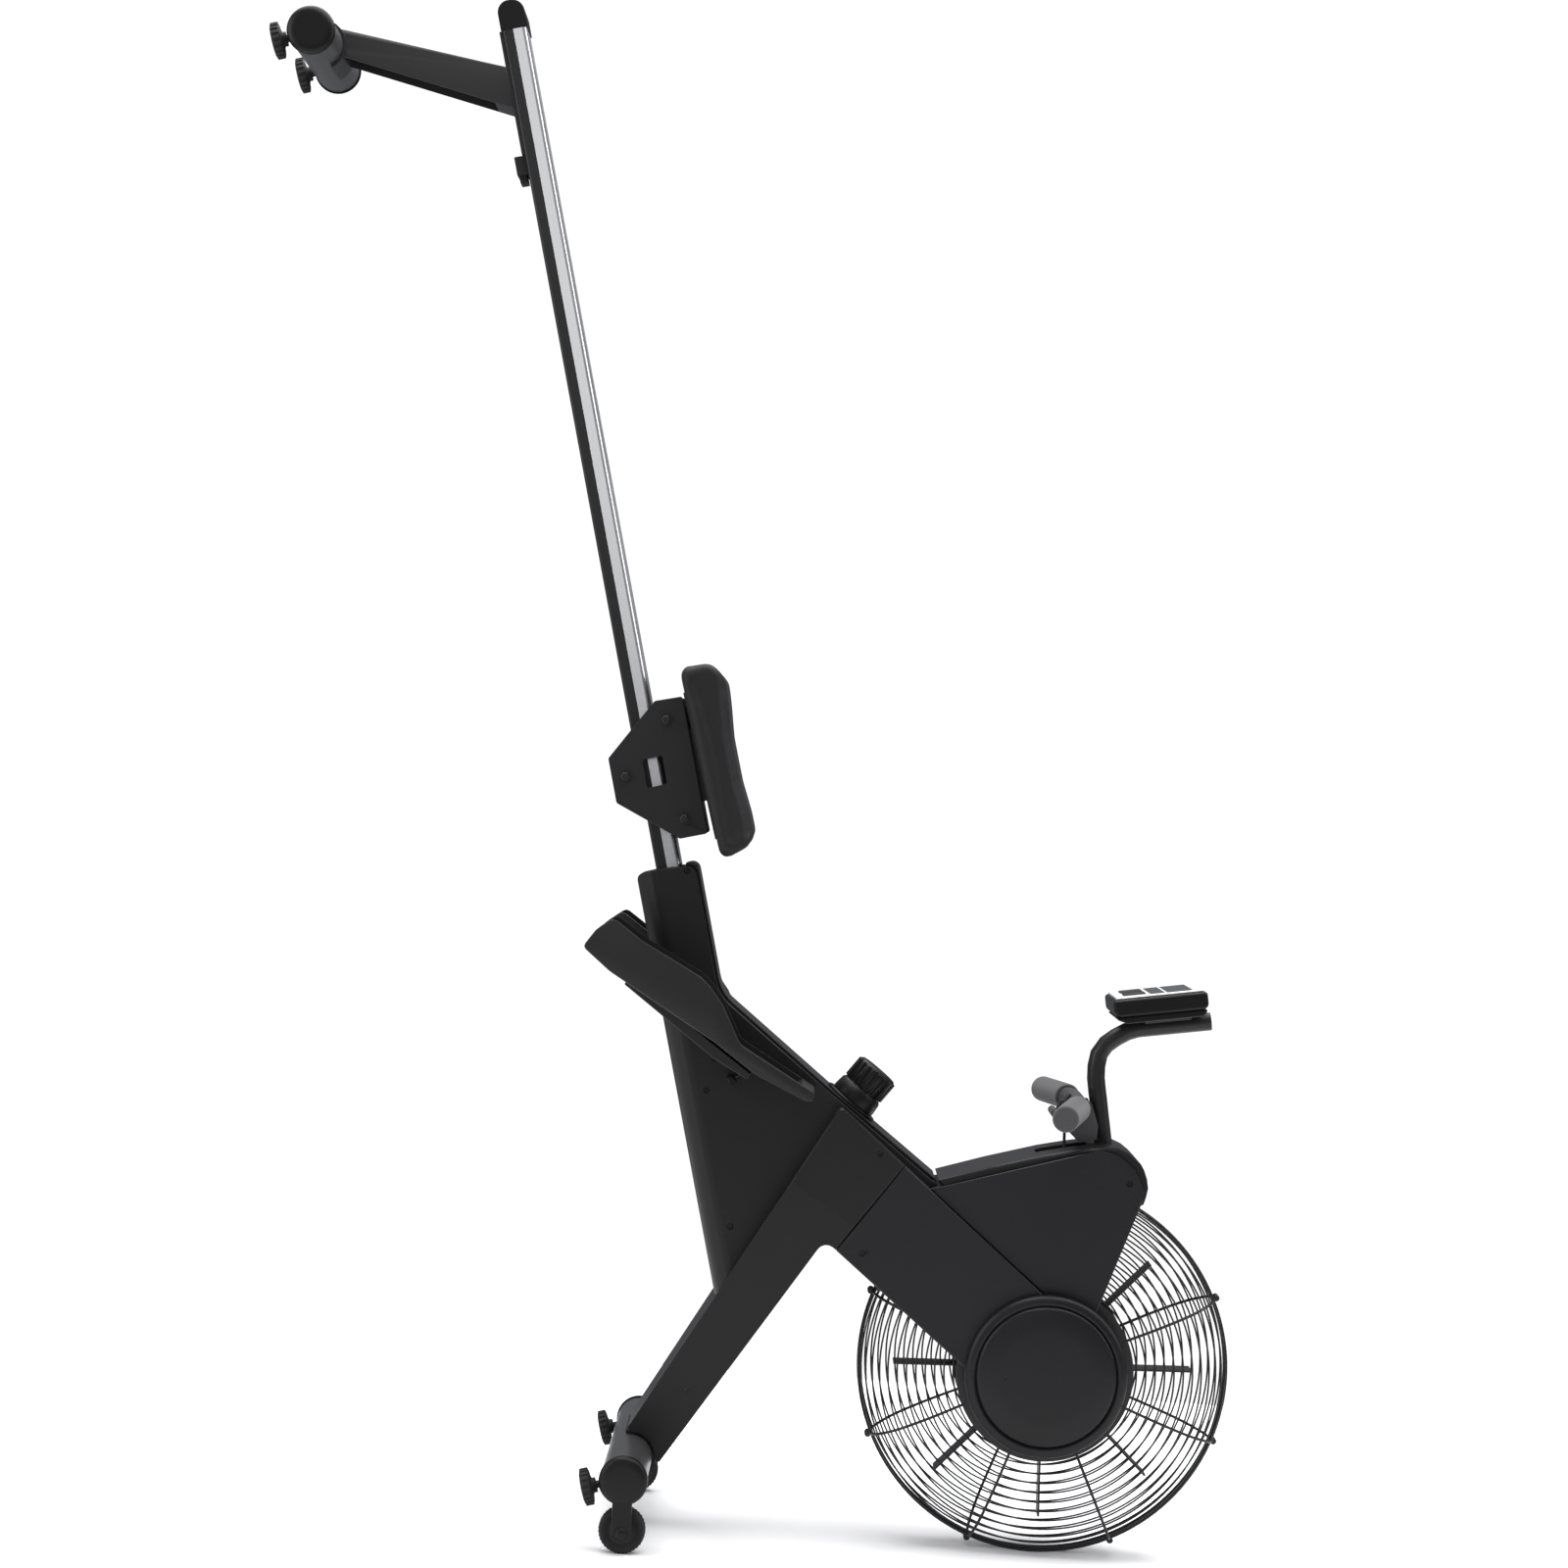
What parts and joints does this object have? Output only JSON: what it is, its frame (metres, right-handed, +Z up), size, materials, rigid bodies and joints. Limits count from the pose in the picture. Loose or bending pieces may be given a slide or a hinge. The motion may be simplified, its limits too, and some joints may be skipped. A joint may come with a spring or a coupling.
{
  "type": "rowing machine",
  "caption": "Upright-stored rowing machine with wire fan cage, sliding padded seat on a steel rail, sprung pull handle, foot rests, resistance knob and transport wheels.",
  "frame": {"origin": "centre of the bounding box at floor level, as the machine stands stored", "axes": "+Z up, +Y to the rower's left, +X from the rail's side towards the fan cage"},
  "size_m": [1.4314, 0.48, 2.0707],
  "materials": {
    "charcoal_panel": "satin moulded covers",
    "black_plastic": "fine textured moulding",
    "black_steel": "satin black powder coat",
    "cage_wire": "satin black powder coat on wire",
    "fan_aluminium": "dark coated sheet",
    "grey_steel": "satin dark grey powder coat",
    "brushed_steel": "lengthwise brushed",
    "black_rubber": "matt moulded rubber",
    "grey_foam": "matt foam sleeve",
    "seat_skin": "matt synthetic leather",
    "webbing": "tight woven nylon",
    "silver_face": "satin silver",
    "zinc": "dull zinc plate"
  },
  "bodies": {
    "frame": {"body_cover_right": "charcoal_panel", "body_cover_left": "charcoal_panel", "post_trim": "charcoal_panel", "leg_beam": "charcoal_panel", "boom_cover_right": "charcoal_panel", "boom_cover_left": "charcoal_panel", "arm_cover_right": "charcoal_panel", "arm_cover_left": "charcoal_panel", "arm_trim": "charcoal_panel", "hub_cover_right": "black_plastic", "hub_cover_left": "black_plastic", "rail_end_cap": "black_plastic", "rear_cap_right": "black_plastic", "rear_cap_left": "black_plastic", "front_cap_right": "black_plastic", "front_cap_left": "black_plastic", "knob_flange": "black_plastic", "console_body": "black_plastic", "main_frame": "black_steel", "rail_tube": "black_steel", "rear_beam": "black_steel", "foot_base_right": "black_steel", "foot_base_left": "black_steel", "console_post": "black_steel", "spring_cassette": "black_steel", "cage_shell_right": "cage_wire", "cage_shell_left": "cage_wire", "rear_crossbar": "grey_steel", "front_crossbar": "grey_steel", "handle_cradle": "grey_steel", "rail_track": "brushed_steel", "rail_stop": "black_rubber", "pull_strap": "webbing", "console_face": "silver_face", "fan_axle": "zinc"},
    "fan": {"fan_wheel": "fan_aluminium"},
    "drum": {"strap_drum": "zinc"},
    "guide": {"guide_roller": "zinc"},
    "magnets": {"magnet_bracket": "zinc"},
    "knob": {"brake_knob": "black_plastic"},
    "handle": {"handle_bar": "grey_steel", "handle_grip_right": "grey_foam", "handle_grip_left": "grey_foam"},
    "seat": {"seat_carriage": "black_steel", "seat_pad": "seat_skin"},
    "roller_rear": {"seat_roller_rear": "black_rubber"},
    "roller_front": {"seat_roller_front": "black_rubber"},
    "roller_lower": {"seat_roller_lower": "black_rubber"},
    "wheel_right": {"transport_wheel_right": "black_rubber"},
    "front_foot_right": {"front_foot_right": "black_rubber"},
    "rear_foot_right": {"rear_foot_right": "black_rubber"},
    "tray_right": {"foot_tray_right": "black_plastic"},
    "pin_right": {"foot_pin_right": "black_plastic"},
    "wheel_left": {"transport_wheel_left": "black_rubber"},
    "front_foot_left": {"front_foot_left": "black_rubber"},
    "rear_foot_left": {"rear_foot_left": "black_rubber"},
    "tray_left": {"foot_tray_left": "black_plastic"},
    "pin_left": {"foot_pin_left": "black_plastic"},
    "key_1": {"console_key_1": "black_plastic"},
    "key_2": {"console_key_2": "black_plastic"}
  },
  "joints": [
    {"name": "handle_pull", "type": "slide", "parent": "frame", "child": "handle", "axis": [-0.2846, 0, 0.9586], "range_m": [0, 1], "deforming": ["pull_strap"]},
    {"name": "seat_slide", "type": "slide", "parent": "frame", "child": "seat", "axis": [-0.2524, 0, 0.9676], "range_m": [0, 0.79]},
    {"name": "fan_spin", "type": "hinge", "parent": "frame", "child": "fan", "pos_m": [0.46109, 0, 0.25461], "axis": [0, 1, 0], "continuous": true},
    {"name": "drum_spin", "type": "hinge", "parent": "frame", "child": "drum", "pos_m": [0.18984, 0, 0.49015], "axis": [0, 1, 0], "range_deg": [-1490, 0]},
    {"name": "guide_spin", "type": "hinge", "parent": "frame", "child": "guide", "pos_m": [0.46162, 0, 0.53745], "axis": [0, 1, 0], "range_deg": [-5700, 0]},
    {"name": "knob_turn", "type": "hinge", "parent": "frame", "child": "knob", "pos_m": [0.17416, 0, 0.59919], "axis": [0.5928, 0, 0.8053], "range_deg": [0, 270]},
    {"name": "magnet_swing", "type": "hinge", "parent": "frame", "child": "magnets", "pos_m": [0.12627, 0.029, 0.50048], "axis": [0, 1, 0], "range_deg": [-8, 0]},
    {"name": "roller_rear_spin", "type": "hinge", "parent": "seat", "child": "roller_rear", "pos_m": [-0.11767, 0, 1.10316], "axis": [0, 1, 0], "range_deg": [-2660, 0]},
    {"name": "roller_front_spin", "type": "hinge", "parent": "seat", "child": "roller_front", "pos_m": [-0.08308, 0, 0.9706], "axis": [0, 1, 0], "range_deg": [-2660, 0]},
    {"name": "roller_lower_spin", "type": "hinge", "parent": "seat", "child": "roller_lower", "pos_m": [-0.16758, 0, 1.02193], "axis": [0, 1, 0], "range_deg": [0, 2660]},
    {"name": "wheel_spin_right", "type": "hinge", "parent": "frame", "child": "wheel_right", "pos_m": [-0.09212, -0.209, 0.03091], "axis": [0, 1, 0], "continuous": true},
    {"name": "front_foot_screw_right", "type": "slide", "parent": "frame", "child": "front_foot_right", "axis": [-0.9586, 0, -0.2846], "range_m": [0, 0.01]},
    {"name": "rear_foot_screw_right", "type": "slide", "parent": "frame", "child": "rear_foot_right", "axis": [-0.9586, 0, -0.2846], "range_m": [0, 0.01]},
    {"name": "tray_slide_right", "type": "slide", "parent": "frame", "child": "tray_right", "axis": [-0.8667, 0, 0.4988], "range_m": [0, 0.04]},
    {"name": "pin_pull_right", "type": "slide", "parent": "frame", "child": "pin_right", "axis": [-0.7689, 0, -0.6393], "range_m": [0, 0.008], "stiffness_N_per_m": 400, "springref_m": -0.005},
    {"name": "wheel_spin_left", "type": "hinge", "parent": "frame", "child": "wheel_left", "pos_m": [-0.09212, 0.209, 0.03091], "axis": [0, 1, 0], "continuous": true},
    {"name": "front_foot_screw_left", "type": "slide", "parent": "frame", "child": "front_foot_left", "axis": [-0.9586, 0, -0.2846], "range_m": [0, 0.01]},
    {"name": "rear_foot_screw_left", "type": "slide", "parent": "frame", "child": "rear_foot_left", "axis": [-0.9586, 0, -0.2846], "range_m": [0, 0.01]},
    {"name": "tray_slide_left", "type": "slide", "parent": "frame", "child": "tray_left", "axis": [-0.8667, 0, 0.4988], "range_m": [0, 0.04]},
    {"name": "pin_pull_left", "type": "slide", "parent": "frame", "child": "pin_left", "axis": [-0.7689, 0, -0.6393], "range_m": [0, 0.008], "stiffness_N_per_m": 400, "springref_m": -0.005},
    {"name": "key_press_1", "type": "slide", "parent": "frame", "child": "key_1", "axis": [0.1708, 0, -0.9853], "range_m": [0, 0.001], "stiffness_N_per_m": 600, "springref_m": -0.001},
    {"name": "key_press_2", "type": "slide", "parent": "frame", "child": "key_2", "axis": [0.1708, 0, -0.9853], "range_m": [0, 0.001], "stiffness_N_per_m": 600, "springref_m": -0.001}
  ],
  "couplings": [
    {"joint": "drum_spin", "follows": "handle_pull", "rad_per_m": -25.773},
    {"joint": "guide_spin", "follows": "handle_pull", "rad_per_m": -98.04},
    {"joint": "magnet_swing", "follows": "knob_turn", "ratio": -0.0296},
    {"joint": "roller_rear_spin", "follows": "seat_slide", "rad_per_m": -58.14},
    {"joint": "roller_front_spin", "follows": "seat_slide", "rad_per_m": -58.14},
    {"joint": "roller_lower_spin", "follows": "seat_slide", "rad_per_m": 58.14}
  ]
}
